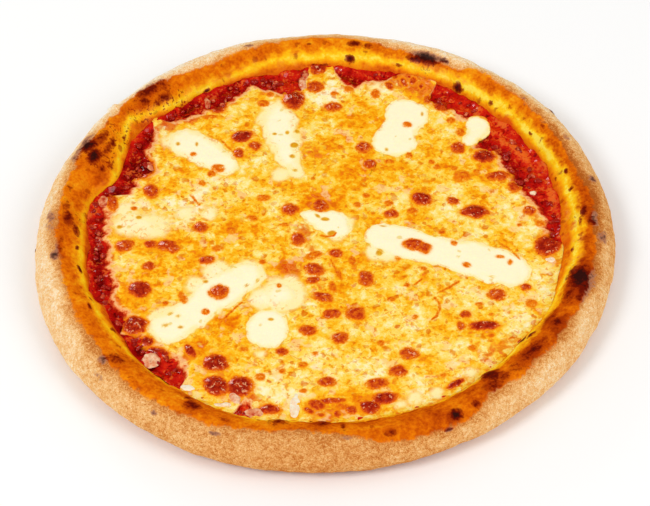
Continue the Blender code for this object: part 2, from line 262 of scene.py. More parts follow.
# The upper edge of the floured side
FLOURED = around((
    (0, 142), (6, 145), (10, 144), (15, 141.5), (25, 142.5), (40, 143.5), (54, 145), (58, 140.5),
    (68, 141), (80, 143.5), (86, 145), (95, 144.5), (105, 142), (113, 140), (118, 137.5), (124, 139),
    (131, 142), (138, 143.5), (145, 142), (160, 142.5), (170, 142), (185, 143), (192, 141),
    (205, 143), (215, 143.5), (222, 146.5), (240, 147), (246, 147), (252, 145.5), (257, 143.5),
    (261, 141), (265, 139.8), (270, 141), (275, 143), (280, 147), (286, 149), (299, 148.5),
    (302, 146), (305, 142.5), (315, 143), (325, 144), (335, 142.5), (342, 144.5), (350, 143.5),
))
# The upper edge of the yellow inner slope
YELLOW = around((
    (0, 137), (30, 137.5), (60, 138), (90, 137), (105, 135), (118, 131.5), (130, 131), (138, 134),
    (144, 138), (150, 131), (158, 125), (163, 125), (170, 131.5), (185, 133), (200, 134.5), (215, 134),
    (228, 131), (240, 130), (248, 130), (253, 135), (259, 131), (268, 128), (300, 128.5), (330, 130),
    (341, 131), (348, 136),
))
# Round the pizza, (degrees, amount): how browned the band between those two edges is
TOASTED = around((
    (0, 0.35), (15, 0.25), (40, 0.1), (90, 0.05), (115, 0.12), (130, 0.22), (150, 0.1), (180, 0.2),
    (210, 0.08), (230, 0.18), (245, 0.28), (253, 0.08), (270, 0.3), (290, 0.28), (310, 0.38),
    (330, 0.6), (345, 0.5),
))
# How pale the floured side is round the pizza
FLOUR = around((
    (0, 0.32), (20, 0.42), (45, 0.72), (90, 0.66), (120, 0.75), (135, 0.95), (155, 0.68), (180, 0.62),
    (200, 0.62), (225, 0.48), (245, 0.35), (270, 0.24), (290, 0.32), (315, 0.55), (340, 0.5),
))
# How much the flour thins at its upper edge
DULL_EDGE = around((
    (0, 0.45), (20, 0.45), (45, 0.42), (60, 0.3), (110, 0.3), (150, 0.3), (190, 0.4), (215, 0.36),
    (238, 0.22), (250, 0.04), (290, 0.1), (305, 0.26), (325, 0.3), (345, 0.36),
))
# How much brighter (+) or duller (-) the inner slope is
BUTTERY = around((
    (0, 0.12), (30, 0.18), (52, 0.1), (65, -0.02), (80, 0.1), (95, 0), (110, -0.04), (135, -0.02),
    (145, 0.1), (152, -0.08), (165, -0.2), (185, -0.14), (200, -0.08), (225, -0.1), (245, -0.04),
    (268, 0.12), (330, 0.08), (350, 0.1),
))

# Charred and browned spots: (degrees, radius, half width along the rim, across it, darkness)
CHARS = (
    (135, 140, 9, 4, 0.75), (133, 133, 7, 3.5, 0.55), (137.5, 137, 4, 3.5, 0.6), (131, 138, 3, 5, 0.5),
    (156.5, 141, 5, 3.5, 1.15), (159, 134.5, 5, 2.6, 1.1), (153, 137, 6, 3, 0.6), (157, 144, 12, 4, 0.55),
    (154, 131.5, 9, 2.6, 0.6), (149, 129.5, 4, 1.6, 0.5), (161, 128, 3, 2, 0.5),
    (158.5, 125.5, 2.5, 2.5, 0.5), (178.5, 136.5, 5, 2.8, 0.75), (175, 139, 5, 3, 0.4),
    (170, 140, 4, 2.5, 0.35), (180, 145.5, 9, 3.5, 0.4), (107.8, 143.5, 3, 2, 0.5),
    (115.5, 135, 1.5, 1.5, 0.45), (94, 139.5, 2, 1.5, 0.35), (65.5, 140.5, 8.5, 3.2, 1.15),
    (68, 138.5, 5, 2, 0.8), (62, 141.5, 5, 1.8, 0.8), (83.2, 141, 4, 2, 0.6), (79.8, 140.5, 3, 2, 0.5),
    (83.8, 133, 2.4, 2.4, 1.0), (72, 134, 3, 1.3, 0.5), (55.8, 133.5, 3, 2.6, 1.0), (46, 134, 2, 2, 0.5),
    (32, 134.2, 1.5, 1, 0.7), (17, 131.5, 1.4, 0.9, 0.6), (11.6, 135.5, 1.4, 1.7, 0.7),
    (16.8, 136.8, 1.8, 1.4, 0.65), (24.5, 140, 2, 1.3, 0.4), (31, 140.5, 2.5, 1.2, 0.45),
    (12.7, 148.5, 3, 2.6, 0.75), (3.6, 138.5, 4, 1.6, 0.9), (0.5, 142, 5, 2.6, 0.8),
    (356, 147, 4.5, 2.6, 0.65), (25.5, 147, 2.5, 2, 0.45), (40, 145, 2, 1.2, 0.4),
    (352.8, 131, 2, 1.2, 0.55), (0.5, 135.5, 4, 1, 0.45), (343.3, 138, 7, 6, 1.25),
    (340, 141.5, 8, 3, 0.9), (345, 134, 5, 3.5, 0.8), (338, 136, 6, 4, 0.6),
    (329.5, 137.5, 3.5, 3.5, 0.8), (331.5, 132, 2.5, 2.5, 0.5), (320, 137, 9, 3.6, 0.68),
    (315, 138, 7, 4, 0.4), (309, 132, 4.5, 8, 0.85), (310, 138, 5, 3, 0.5), (307, 138.5, 5, 3.5, 0.65),
    (325, 128, 2.5, 2, 0.8), (323.5, 124.5, 4, 1.2, 0.8), (296.5, 144.5, 3.4, 3, 1.0),
    (301.5, 143.5, 2.2, 2.4, 0.75), (294.2, 149, 2.2, 1.2, 0.6), (283, 143.7, 3.2, 2.2, 0.6),
    (269.6, 131, 3, 5, 0.75), (273.8, 136, 1.5, 5, 0.5), (260, 132, 4.5, 6, 0.6), (258.5, 130, 2, 5, 0.6),
    (241.7, 139, 4, 4, 0.85), (239.5, 133, 2.5, 3.5, 0.6), (229, 130, 2.2, 1, 0.65),
    (243, 126, 2.5, 1.4, 0.7), (220.3, 146.5, 2.6, 2.6, 0.7), (221.8, 140.5, 5, 3.5, 0.45),
    (212.7, 128.5, 2.5, 1.5, 0.75), (205.5, 134, 2.5, 1, 0.8), (193, 131.7, 2.8, 1.2, 0.9),
    (190, 143.8, 3, 2.2, 0.85), (187, 140.5, 8, 2, 0.45), (186.8, 131.5, 1.5, 1, 0.6),
    (181.5, 132, 4, 2, 0.6), (34.6, 153.5, 2.5, 1.5, 1.1), (184.5, 154.5, 1, 1, 1.1),
    (222, 153, 4, 1.5, 0.4), (249, 150, 3, 1, 0.5), (236, 152, 2, 1.5, 0.5), (274, 144, 4, 1.5, 0.35),
    (90, 131, 2, 1, 0.5), (121.5, 128.3, 2.2, 1, 0.8), (203, 131, 3, 1, 0.4), (249.5, 141, 5, 2, 0.35),
)
# Bright fresh sauce: (degrees, radius, half width, across, amount)
BRIGHT_SAUCE = (
    (30, 124, 34, 6, 0.9), (40, 129, 4.5, 4, 1.0), (12, 126, 12, 3, 0.8), (22, 127, 10, 4, 0.8),
    (175, 126, 14, 4, 0.8), (192, 127.5, 7, 2, 0.9), (230, 121.5, 7, 6, 0.6), (100, 118, 8, 7, 0.4),
    (81, 126, 4, 3, 0.6), (251.5, 126, 2, 3, 0.8), (145, 127, 8, 2, 0.5), (216, 123, 6, 3, 0.5),
    (50, 126, 9, 4, 0.7),
)
# Darker sauce, most of it round the left side
DARK_SAUCE = (
    (188, 122, 24, 3, 1.0), (155, 114, 13, 9, 1.1), (145, 121, 9, 3, 0.7), (128, 122, 6, 5, 0.9),
    (210, 123, 9, 3, 0.8), (118, 123, 9, 5, 0.6), (83, 122, 6, 4, 0.8), (164, 118, 7, 6, 1.0),
    (219, 125, 5, 3, 0.9), (30, 117, 14, 3, 0.8), (21, 114, 6, 3, 0.9), (18.5, 121, 5, 2.5, 0.8),
    (13, 122, 6, 1.6, 0.8), (38, 113, 5, 5, 0.7), (228, 126, 5, 1.5, 0.9),
)
# Lumps of mozzarella against the rim: (degrees, radius, half width, half height, turn, pinkness)
BITS = (
    (262.5, 116.5, 3, 8, 2, 0.1), (224.2, 123.5, 4, 4.6, 0, 0.65), (254, 125, 6, 3.6, 10, 0.7),
    (245.5, 126.5, 7.5, 1.6, -2, 0.3), (236.5, 125, 3.6, 2.2, 0, 0.0), (351.5, 121, 3, 2, -20, 0.1),
    (15.4, 117.3, 1.8, 1.2, 0, 0.3), (96, 117, 2.2, 5.5, 10, 0.75), (95, 125, 2, 3.5, 0, 0.9),
    (168.3, 122.5, 2.6, 3.6, 0, 0.8), (123.3, 121, 1.5, 3.6, 15, 0.8), (152, 109, 1.4, 3, 30, 0.8),
    (248, 119.5, 2.5, 4.5, 20, 0.65),
)
# Where sauce has stained the inner slope of the rim: (x, y, reach, amount)
STAINS = (
    (101, 84, 4, 0.9), (130, -1, 4, 0.6), (129, -8, 4, 0.7), (131, 3, 3, 0.5), (124, 30, 5, 0.4),
    (112, 60, 6, 0.3), (62, 115, 5, 0.3), (-20, 127, 5, 0.3), (-95, -90, 5, 0.4), (-112, -62, 5, 0.4),
)
# Where the rim is speckled with browned blisters: (x, y, reach, amount)
SPECKLED = (
    (-82, 100, 6, 0.9), (-88, 92, 5, 1.0), (-101, 88, 7, 0.7), (-112, 70, 7, 1.0), (-121, 57, 6, 0.9),
    (-118, 66, 6, 0.8), (-124, 46, 6, 0.9), (-119, 50, 5, 0.9), (-94, 102, 6, 0.6), (-106, 84, 6, 0.5),
    (132, 6, 5, 0.4), (108, -82, 6, 0.5), (58, 124, 8, 0.4), (-66, 108, 5, 0.5), (-132, 8, 5, 0.5),
)
# The torn flap of dough: (degrees, radius, half width, across, amount)
TORN = (
    (143.4, 134, 1.2, 4, 1.2), (143.4, 140, 1.2, 4, 1.6), (143, 146, 1.3, 4, 2.2),
    (142.4, 152, 1.5, 4, 2.6),
)


# ---------------------------------------------------------------- fields

random = np.random.default_rng(seed=7)
SHUFFLED = random.permutation(256)
SLOPES = random.normal(size=(256, 3))
SLOPES /= np.linalg.norm(SLOPES, axis=1)[:, None]
NOISE_GAIN = 1.6                    # brings the noise to about -1 to 1
POOL_MARGIN, FAR_AWAY = 14, -12.0   # how far round a pool is looked at, and what counts beyond


def lumps(points, size, seed=0):
    """Smooth noise from about -1 to 1 with features of that size, at points in millimetres."""
    scaled = points / size + seed * np.array((17.3, -9.1, 5.7))
    cell = np.floor(scaled).astype(int)
    part = scaled - cell
    ease = part ** 3 * (part * (part * 6 - 15) + 10)
    total = np.zeros(len(points))
    for corner in itertools.product((0, 1), repeat=3):
        number = np.zeros(len(points), int)
        for axis in range(3):
            number = SHUFFLED[(number + cell[:, axis] + corner[axis]) % 256]
        share = np.prod(np.where(corner, ease, 1 - ease), axis=1)
        total += share * ((part - corner) * SLOPES[number]).sum(1)
    return total * NOISE_GAIN


def smooth(value, low, high):
    """0 at low, 1 at high and smooth between."""
    t = np.clip((value - low) / (high - low), 0, 1)
    return t * t * (3 - 2 * t)


def spot_share(x, y, spot):
    """How far out from a spot's middle each point is: 0 in the middle and 1 at its edge."""
    cx, cy, wide, high, turn = spot
    c, s = math.cos(math.radians(turn)), math.sin(math.radians(turn))
    dx, dy = x - cx, y - cy
    return np.hypot((dx * c + dy * s) / wide, (dy * c - dx * s) / high)


def patches(x, y, spots):
    """The sum of soft round patches (x, y, reach, amount) at each point."""
    total = np.zeros(x.shape)
    for cx, cy, reach, amount in spots:
        d = np.hypot(x - cx, y - cy) / reach
        total += amount * np.exp(-1.2 * d ** 2)
    return total


def from_line(x, y, line):
    """The distance of each point from the line through the given points, in mm."""
    nearest = np.full(x.shape, 1e9)
    for (x0, y0), (x1, y1) in zip(line, line[1:]):
        along = np.clip(((x - x0) * (x1 - x0) + (y - y0) * (y1 - y0))
                        / ((x1 - x0) ** 2 + (y1 - y0) ** 2), 0, 1)
        away = np.hypot(x - x0 - along * (x1 - x0), y - y0 - along * (y1 - y0))
        nearest = np.minimum(nearest, away)
    return nearest


def into_ring(x, y, ring):
    """How far inside a closed outline each point is, in mm; below 0 outside it."""
    crossings = np.zeros(x.shape, int)
    for (x0, y0), (x1, y1) in zip(ring, np.roll(ring, -1, axis=0)):
        spans = (y0 > y) != (y1 > y)
        with np.errstate(divide="ignore", invalid="ignore"):
            crossings += spans & (x < (x1 - x0) * (y - y0) / (y1 - y0) + x0)
    away = from_line(x, y, np.vstack((ring, ring[:1])))
    return np.where(crossings % 2 == 1, away, -away)


def into_pools(x, y):
    """How far inside melted mozzarella each point is, in units of that pool's softness, and how
    far inside the pools' own outlines in mm."""
    found, within = np.full(x.shape, FAR_AWAY), np.full(x.shape, FAR_AWAY)
    points = np.column_stack((x, y, np.zeros(x.shape)))
    wobble = 1.3 * lumps(points, 7, 71) + 1.0 * lumps(points, 3.2, 72)
    for node, (_, ring) in POOLS.items():
        low, high = ring.min(0) - POOL_MARGIN, ring.max(0) + POOL_MARGIN
        close = (x > low[0]) & (x < high[0]) & (y > low[1]) & (y < high[1])
        soft = MOZZARELLA_SOFTNESS.get(node, POOL_SOFTNESS)
        inside = into_ring(x[close], y[close], ring)
        found[close] = np.maximum(found[close], (inside + wobble[close]) / soft)
        within[close] = np.maximum(within[close], inside)
    for cx, cy, reach in RUNS:
        found = np.maximum(found, (reach + wobble - np.hypot(x - cx, y - cy)) / RUN_SOFTNESS)
    return found, within


def blistered(x, y, ragged):
    """How browned the cheese is by its blisters and cracks, and how far they raise it in mm."""
    heat, dome = np.zeros(x.shape), np.zeros(x.shape)
    for scorch, spots in BLISTERS:
        for spot in spots:
            size = math.sqrt(spot[2] * spot[3])
            share = spot_share(x, y, spot)
            depth = (1 - share) * size + ragged * min(1, size / 4)
            deep = np.clip(depth / size, 0, 1)
            # the middle of each blister is kept a little paler: painted highlight on its top
            inner = 0.66 + 0.34 * smooth(deep, 0, 0.5) - 0.12 * smooth(deep, 0.5, 1)
            halo = 0.46 * np.exp(np.minimum(depth, 0) / (0.7 + 1.8 * scorch))
            heat = np.maximum(heat, scorch * np.where(depth > 0, inner, halo))
            raised = np.clip(1 - share + 0.15 * ragged / size, 0, 1)
            dome = np.maximum(dome, 0.26 * size * (1 - (1 - raised) ** 2) * (0.4 + 0.7 * scorch))
    for line in CRACKS:
        away = from_line(x, y, line) + 0.4 * ragged
        heat = np.maximum(heat, 0.42 * np.exp(-(np.maximum(away, 0) / 0.9) ** 2))
        dome -= 0.35 * np.exp(-(away / 1.0) ** 2)
    return heat, dome


def cheese_surface(x, y):
    """The height of the melted surface, how far inside a pool's outline each point is, and the
    values that the colours are mixed from."""
    points = np.column_stack((x, y, np.zeros(x.shape)))
    ragged = 0.8 * lumps(points, 4.5, 41) + 0.4 * lumps(points, 2.3, 42)
    heat, dome = blistered(x, y, ragged)
    olive = np.zeros(x.shape)
    for spot in OLIVE:
        size = math.sqrt(spot[2] * spot[3])
        depth = (1 - spot_share(x, y, spot)) * size + 0.3 * ragged
        olive = np.maximum(olive, smooth(depth, -0.7, 0.7))
    pool, within = into_pools(x, y)
    pool += 0.4 * ragged
    firm = 1 - 0.6 * smooth(pool, -1, 2)
    height = (CHEESE_TOP + 0.1 + 0.3 * lumps(points, 22, 1) + 0.3 * lumps(points, 8, 2)
              + firm * (0.2 * lumps(points, 3.4, 3) + 0.12 * lumps(points, 1.9, 4)))
    height += dome * (1 + 0.3 * lumps(points, 1.8, 5))
    values = {"browned": heat, "olive": olive, "pool": np.clip(pool, -6, 6),
              "gilding": patches(x, y, TINTS), "blush": patches(x, y, BLUSHES)}
    return height, within, values


# ---------------------------------------------------------------- materials

def rgb(red, green, blue):
    """A colour on screen, 0 to 255, as the linear values that Blender mixes."""
    parts = np.array((red, green, blue)) / 255
    linear = np.where(parts <= 0.04045, parts / 12.92, ((parts + 0.055) / 1.055) ** 2.4)
    return tuple(float(part) for part in linear) + (1.0,)


class Value:
    """A number that a material works out; ordinary arithmetic on it adds Math nodes."""

    def __init__(self, look, socket):
        self.look, self.socket = look, socket

    def math(self, operation, *parts):
        return self.look.node("ShaderNodeMath", {"operation": operation}, dict(enumerate(parts)))

    def __add__(self, other):
        return self.math("ADD", self, other)

    __radd__ = __add__

    def __mul__(self, other):
        return self.math("MULTIPLY", self, other)

    __rmul__ = __mul__

    def __sub__(self, other):
        return self.math("SUBTRACT", self, other)

    def __rsub__(self, other):
        return self.math("SUBTRACT", other, self)


class Look:
    """A material with one Principled shader, whose inputs are numbers, colours or Values."""

    def __init__(self, name, constants):
        self.material = bpy.data.materials.new(name)
        self.material.use_nodes = True
        self.tree = self.material.node_tree
        self.shader = self.tree.nodes["Principled BSDF"]
        self.colours = bpy.context.scene.pizza_colours
        for socket, value in constants.items():
            self.shader.inputs[socket].default_value = value

    def node(self, kind, settings, inputs, output=0):
        """Add a node with those settings and inputs, and give back one of its outputs."""
        made = self.tree.nodes.new(kind)
        for setting, value in settings.items():
            if setting == "stops":
                ramp = made.color_ramp
                while len(ramp.elements) < len(value):
                    ramp.elements.new(0.5)
                for element, (position, colour) in zip(ramp.elements, value):
                    element.position, element.color = position, colour
            else:
                setattr(made, setting, value)
        for socket, value in inputs.items():
            if isinstance(value, Value):
                self.tree.links.new(value.socket, made.inputs[socket])
            else:
                made.inputs[socket].default_value = value
        return Value(self, made.outputs[output])

    def place(self):
        """The place on the piece in millimetres."""
        coordinates = self.node("ShaderNodeTexCoord", {}, {}, "Object")
        return self.node("ShaderNodeVectorMath", {"operation": "MULTIPLY"},
                         {0: coordinates, 1: (1 / MM, 1 / MM, 1 / MM)})

    def stirred(self, place, size, amount):
        """The place moved unevenly by up to about that many millimetres."""
        colour = self.node("ShaderNodeTexNoise", {}, {"Vector": place, "Scale": 1 / size}, "Color")
        off = self.node("ShaderNodeVectorMath", {"operation": "SUBTRACT"},
                        {0: colour, 1: (0.5, 0.5, 0.5)})
        return self.node("ShaderNodeVectorMath", {"operation": "MULTIPLY_ADD"},
                         {0: off, 1: (4 * amount, 4 * amount, 4 * amount), 2: place})

    def read(self, name):
        """A value written for each vertex."""
        return self.node("ShaderNodeAttribute", {"attribute_name": name}, {}, "Fac")

    def noise(self, place, size, detail=2.0, roughness=0.5, distortion=0.0):
        """Noise of about -1 to 1 with features of that size in millimetres."""
        found = self.node("ShaderNodeTexNoise", {}, {
            "Vector": place, "Scale": 1 / size, "Detail": detail, "Roughness": roughness,
            "Distortion": distortion})
        return (found - 0.5) * 4

    def dots(self, place, spacing, largest, share, softness=0.3):
        """Scattered dots, 1 inside and 0 outside: a dot in that share of the cells."""
        settings = {"voronoi_dimensions": "2D", "feature": "F1"}
        inputs = {"Vector": place, "Scale": 1 / spacing}
        distance = self.node("ShaderNodeTexVoronoi", settings, inputs, "Distance") * spacing
        colour = self.node("ShaderNodeTexVoronoi", settings, inputs, "Color")
        chance = self.node("ShaderNodeSeparateColor", {}, {"Color": colour}, "Red")
        size = (chance - (1 - share)) * (largest / share)
        return self.smooth(size - distance, -softness, softness)

    def smooth(self, value, low, high):
        """0 at low, 1 at high and smooth between."""
        settings = {"interpolation_type": "SMOOTHSTEP"}
        return self.node("ShaderNodeMapRange", settings, {0: value, 1: low, 2: high, 3: 0.0, 4: 1.0})

    def mix(self, share, first, second):
        """The first colour, with that share of the second."""
        return self.node("ShaderNodeMix", {"data_type": "RGBA"}, {0: share, 6: first, 7: second}, 2)

    def ramp(self, value, stops):
        return self.node("ShaderNodeValToRGB", {"stops": stops}, {0: value}, "Color")

    def bump(self, height, distance):
        """Fine relief; a height of 1 stands that distance out."""
        return self.node("ShaderNodeBump", {}, {"Height": height, "Distance": distance,
                                                "Strength": 1.0}, "Normal")

    def feed(self, sockets):
        """Link Values to the shader, and give back the finished material."""
        for socket, value in sockets.items():
            self.tree.links.new(value.socket, self.shader.inputs[socket])
        return self.material


def melted_look(name):
    """Cheese and mozzarella: cream to gold to orange, with browned blisters and specks."""
    look = Look(name, {
        "Roughness": 0.5, "Specular IOR Level": 0.0, "Subsurface Weight": 0.06,
        "Subsurface Radius": (1.0, 0.4, 0.1), "Subsurface Scale": 0.0012, "Coat Roughness": 0.2})
    place = look.place()
    stirred = look.stirred(place, 4.0, 1.1)
    coarse = look.noise(place, 14, 2, 0.5, 0.6)
    medium = look.noise(stirred, 5.2, 2, 0.55)
    small = look.noise(stirred, 2.2, 2, 0.5)
    fine = look.noise(place, 0.9, 2, 0.5)

    # cream to orange, with the sauce shining through here and there
    gold = 0.45 + look.read("gilding") * 0.36 + coarse * 0.24 + medium * 0.24 + small * 0.17 + fine * 0.05
    base = look.ramp(gold, [
        (0.0, rgb(255, 243, 196)), (0.16, rgb(254, 235, 156)), (0.3, rgb(253, 220, 108)),
        (0.43, look.colours.cheese), (0.56, rgb(252, 188, 32)), (0.7, look.colours.gold),
        (0.84, rgb(242, 134, 8)), (1.0, rgb(226, 98, 6))])
    blush = look.smooth(look.read("blush") + medium * 0.4 + small * 0.3, 0.2, 0.9)
    base = look.mix(blush * 0.9, base, look.mix(look.smooth(small + fine * 0.4, -0.5, 0.7),
                                                 rgb(214, 66, 10), rgb(240, 130, 46)))
    pinkish = look.smooth(look.noise(stirred, 9, 2, 0.6), 0.36, 0.66)
    base = look.mix(pinkish * 0.5, base, rgb(253, 214, 158))

    # darker streaks, specks and crumbs
    streak = look.smooth(look.noise(stirred, 2.6, 1, 0.5, 1.2) + coarse * 0.25, 0.52, 0.66)
    base = look.mix(streak * 0.6, base, rgb(236, 122, 10))
    specks = look.dots(stirred, 5.4, 1.9, 0.45, 0.25)
    base = look.mix((0.55 + medium * 0.5) * specks, base, rgb(226, 110, 8))
    crumbs = look.dots(stirred, 3.0, 1.0, 0.36, 0.3)
    base = look.mix((0.5 + coarse * 0.5) * crumbs, base, rgb(230, 124, 8))

    # melted mozzarella with painted shade along its edges (a golden ring round it, a yellower border
    # inside it), rare yellow dots and olive marks
    pool = look.read("pool") + medium * 0.35 + small * 0.3
    in_pool = look.smooth(pool, -0.5, 1.1)
    # painted shade: a golden ring just outside each pool's outline
    ring_shade = look.smooth(pool, -1.4, -0.3) * (1 - look.smooth(pool, -0.2, 0.8))
    base = look.mix(ring_shade * 0.35, base, rgb(248, 176, 48))
    # painted shade: the cream is yellower towards the pool's border and whiter in the middle
    unshaded = look.smooth(pool + coarse * 2, 0.2, 6.0)
    cream = look.mix(unshaded, rgb(254, 236, 168), look.colours.mozzarella)
    thin = look.smooth(pool, 4.5, 1.5) * look.smooth(small + medium * 0.6, 0.25, 0.75)
    base = look.mix(in_pool * (1 - thin * 0.55), base, cream)
    rare = look.dots(stirred, 8, 1.3, 0.3, 0.5)
    base = look.mix(rare * 0.6, base, rgb(236, 192, 60))
    olive = look.read("olive")
    base = look.mix(olive, base, look.ramp(olive + small * 0.3, [
        (0.2, rgb(252, 228, 130)), (0.6, rgb(240, 190, 48)), (1.0, rgb(222, 152, 24))]))

    # the thin edge, soaked with sauce
    edge = look.smooth(look.read("edge") + medium * 1.6 + small * 1.2, 7.5, -0.5)
    base = look.mix(look.smooth(edge, 0.05, 0.4), base, look.ramp(edge + coarse * 0.12 + fine * 0.1, [
        (0.2, rgb(252, 208, 140)), (0.45, rgb(246, 176, 112)), (0.65, rgb(230, 118, 58)),
        (0.85, rgb(196, 52, 20)), (1.0, rgb(158, 20, 6))]))

    # browned blisters, with paler flecks on them: painted highlight, in part paler skin
    heat = look.read("browned")
    scorched = heat + (fine * 0.1 + small * 0.16) * look.smooth(heat, 0.1, 0.45)
    brown = look.ramp(scorched, [
        (0.1, rgb(250, 176, 36)), (0.24, rgb(245, 150, 18)), (0.38, rgb(236, 122, 10)),
        (0.5, rgb(222, 92, 5)), (0.64, look.colours.blister), (0.8, rgb(162, 26, 2)),
        (1.0, rgb(112, 8, 1))])
    base = look.mix(look.smooth(scorched, 0.08, 0.34), base, brown)
    # painted highlight: pale flecks on the blisters
    highlight_fleck = look.smooth(look.noise(stirred, 2.0, 2, 0.6), 0.42, 0.62) * look.smooth(heat, 0.4, 0.6)
    base = look.mix(highlight_fleck * 0.75, base, rgb(250, 176, 124))

    height = medium * 0.14 + small * 0.12 + specks * 0.12 + fine * 0.03
    return look.feed({"Base Color": base, "Coat Weight": look.smooth(heat, 0.3, 0.6),
                      "Normal": look.bump(height * (1 - in_pool * 0.6), 0.8 * MM)})


def sauce_look():
    """Tomato sauce: fresh red, darker in places, with orange where it thins and shines."""
    look = Look("tomato_sauce", {
        "Roughness": 0.5, "Specular IOR Level": 0.0, "Subsurface Weight": 0.05,
        "Subsurface Radius": (1.0, 0.1, 0.05), "Subsurface Scale": 0.0015,
        "Coat Weight": 0.8, "Coat Roughness": 0.17})
    place = look.place()
    medium, fine = look.noise(place, 4.5, 3, 0.55), look.noise(place, 1.4, 2, 0.5)
    veins = look.smooth(look.noise(place, 3.2, 2, 0.6, 1.0), 0.25, 0.7)
    bright = (look.read("bright") - look.read("dark") * 0.8 + medium * 0.6 + fine * 0.3
              - veins * 0.9)
    base = look.ramp(bright * 0.45 + 0.5, [
        (0.0, rgb(108, 0, 0)), (0.28, rgb(156, 4, 1)), (0.5, look.colours.sauce), (0.74, rgb(218, 34, 7)),
        (1.0, rgb(240, 104, 30))])
    base = look.mix(look.smooth(fine + medium * 1.4, 0.6, 1.1) * 0.6, base, rgb(230, 104, 34))
    height = medium * 0.42 + fine * 0.2
    return look.feed({"Base Color": base, "Normal": look.bump(height, 1.0 * MM)})


def bits_look():
    """Small lumps of mozzarella: cream, or pink to red where the sauce has soaked them."""
    look = Look("mozzarella_bits", {
        "Roughness": 0.35, "Specular IOR Level": 0.2, "Subsurface Weight": 0.15,
        "Subsurface Radius": (1.0, 0.6, 0.4), "Subsurface Scale": 0.0015,
        "Coat Weight": 0.6, "Coat Roughness": 0.15})
    place = look.place()
    share = look.read("pink") * 0.8 + look.noise(place, 2.8, 3, 0.6) * 0.3
    base = look.ramp(share, [
        (0.0, rgb(254, 242, 214)), (0.3, rgb(252, 214, 172)), (0.6, rgb(234, 148, 100)),
        (0.8, rgb(206, 72, 34)), (1.0, rgb(164, 20, 8))])
    height = look.noise(place, 1.6, 3) * 0.2
    return look.feed({"Base Color": base, "Normal": look.bump(height, 0.8 * MM)})


def crust_look():
    """Baked dough: a floured side, a golden band over the rim, a bright buttery inner slope."""
    look = Look("baked_crust", {
        "Specular IOR Level": 0.0, "Subsurface Weight": 0.04, "Subsurface Radius": (1.0, 0.4, 0.1),
        "Subsurface Scale": 0.002, "Coat Roughness": 0.25})
    place = look.place()
    coarse, medium = look.noise(place, 15, 3, 0.5), look.noise(place, 4.8, 3, 0.5)
    fine, grain = look.noise(place, 1.6, 2, 0.5), look.noise(place, 0.6, 2, 0.6)
    floured, yellow, toast = look.read("floured"), look.read("yellow"), look.read("toast")

    # the floured side, the band over the rim and the inner slope
    flour_share = (look.read("flour") + 0.08 - look.smooth(floured, -7, 0) * look.read("dull_edge")
                   + grain * 0.24 + fine * 0.16 + medium * 0.1 + coarse * 0.08)
    flour = look.ramp(flour_share, [
        (0.0, rgb(176, 90, 28)), (0.25, rgb(208, 130, 60)), (0.5, look.colours.flour),
        (0.75, rgb(251, 214, 160)), (1.0, rgb(255, 245, 224))])
    band = look.ramp(0.72 - toast * 0.62 + coarse * 0.24 + medium * 0.16 + fine * 0.14, [
        (0.0, rgb(128, 32, 4)), (0.25, rgb(170, 58, 5)), (0.45, look.colours.band),
        (0.65, rgb(230, 116, 8)), (0.85, rgb(243, 146, 16)), (1.0, rgb(250, 176, 34))])
    butter = look.ramp(0.46 + look.read("buttery") - toast * 0.15 + coarse * 0.2 + medium * 0.2
                       + fine * 0.12, [
        (0.0, rgb(204, 78, 4)), (0.2, rgb(230, 114, 6)), (0.4, rgb(245, 148, 8)),
        (0.6, look.colours.butter), (0.8, rgb(255, 204, 24)), (1.0, rgb(255, 230, 84))])
    side = floured + coarse * 1.2 + medium * 1.1 + fine * 0.8
    base = look.mix(look.smooth(side, -0.7, 0.9), flour, band)
    slope = yellow + coarse * 2.2 + medium * 1.2 + fine * 0.5
    base = look.mix(look.smooth(slope, -3, 2.4), base, butter)
    # stains of sauce, brown specks and small blisters
    stain = look.smooth(look.read("stain") + medium * 0.35 + fine * 0.2, 0.3, 0.95)
    base = look.mix(stain * 0.85, base, rgb(224, 80, 12))
    stirred = look.stirred(place, 2.4, 1.0)
    specks = look.dots(stirred, 8, 1.5, 0.35, 0.5) * look.smooth(floured, -3, 1)
    base = look.mix(specks * 0.7, base, rgb(176, 66, 6))
    blisters = look.smooth(fine + medium * 0.5, 0.25, 0.55) * look.smooth(look.read("speckled"), 0.1, 0.6)
    base = look.mix(blisters * 0.85, base, rgb(158, 32, 6))
    # char in three strengths, greyer where flour lies on it
    dusty = 1 - look.smooth(side, -0.8, 0.8)
    char = look.read("char")
    char = char + (fine * 0.2 + medium * 0.26 + grain * 0.04) * look.smooth(char, 0.02, 0.3)
    base = look.mix(look.smooth(char, 0.14, 0.44) * 0.9, base,
                    look.mix(dusty, rgb(160, 50, 6), rgb(178, 118, 90)))
    base = look.mix(look.smooth(char, 0.38, 0.7), base,
                    look.mix(dusty, rgb(108, 20, 5), rgb(114, 72, 54)))
    base = look.mix(look.smooth(char, 0.68, 1.05), base,
                    look.mix(dusty, rgb(52, 18, 14), rgb(58, 36, 32)))

    height = medium * 0.16 + fine * 0.12 + grain * (0.05 + dusty * 0.04)
    return look.feed({"Base Color": base, "Roughness": dusty * 0.3 + 0.5,
                      "Coat Weight": look.smooth(yellow, -2, 3) * 0.12,
                      "Normal": look.bump(height, 0.9 * MM)})


# ---------------------------------------------------------------- pieces

def to_mesh(made, name):
    mesh = bpy.data.meshes.new(name)
    made.to_mesh(mesh)
    made.free()
    return mesh


def places(mesh):
    """The vertices of a mesh, one to a row."""
    found = np.empty(len(mesh.vertices) * 3, np.float32)
    mesh.vertices.foreach_get("co", found)
    return found.reshape(-1, 3).astype(float)


def turned(radius, angle, height):
    """Points at these distances from the middle, in these directions and at these heights."""
    return np.column_stack((radius * np.cos(angle), radius * np.sin(angle),
                            np.broadcast_to(height, angle.shape)))


def by_row(row, values):
    """The value at each vertex's row, from the values down the rows."""
    return np.interp(row, np.arange(len(values)), values)


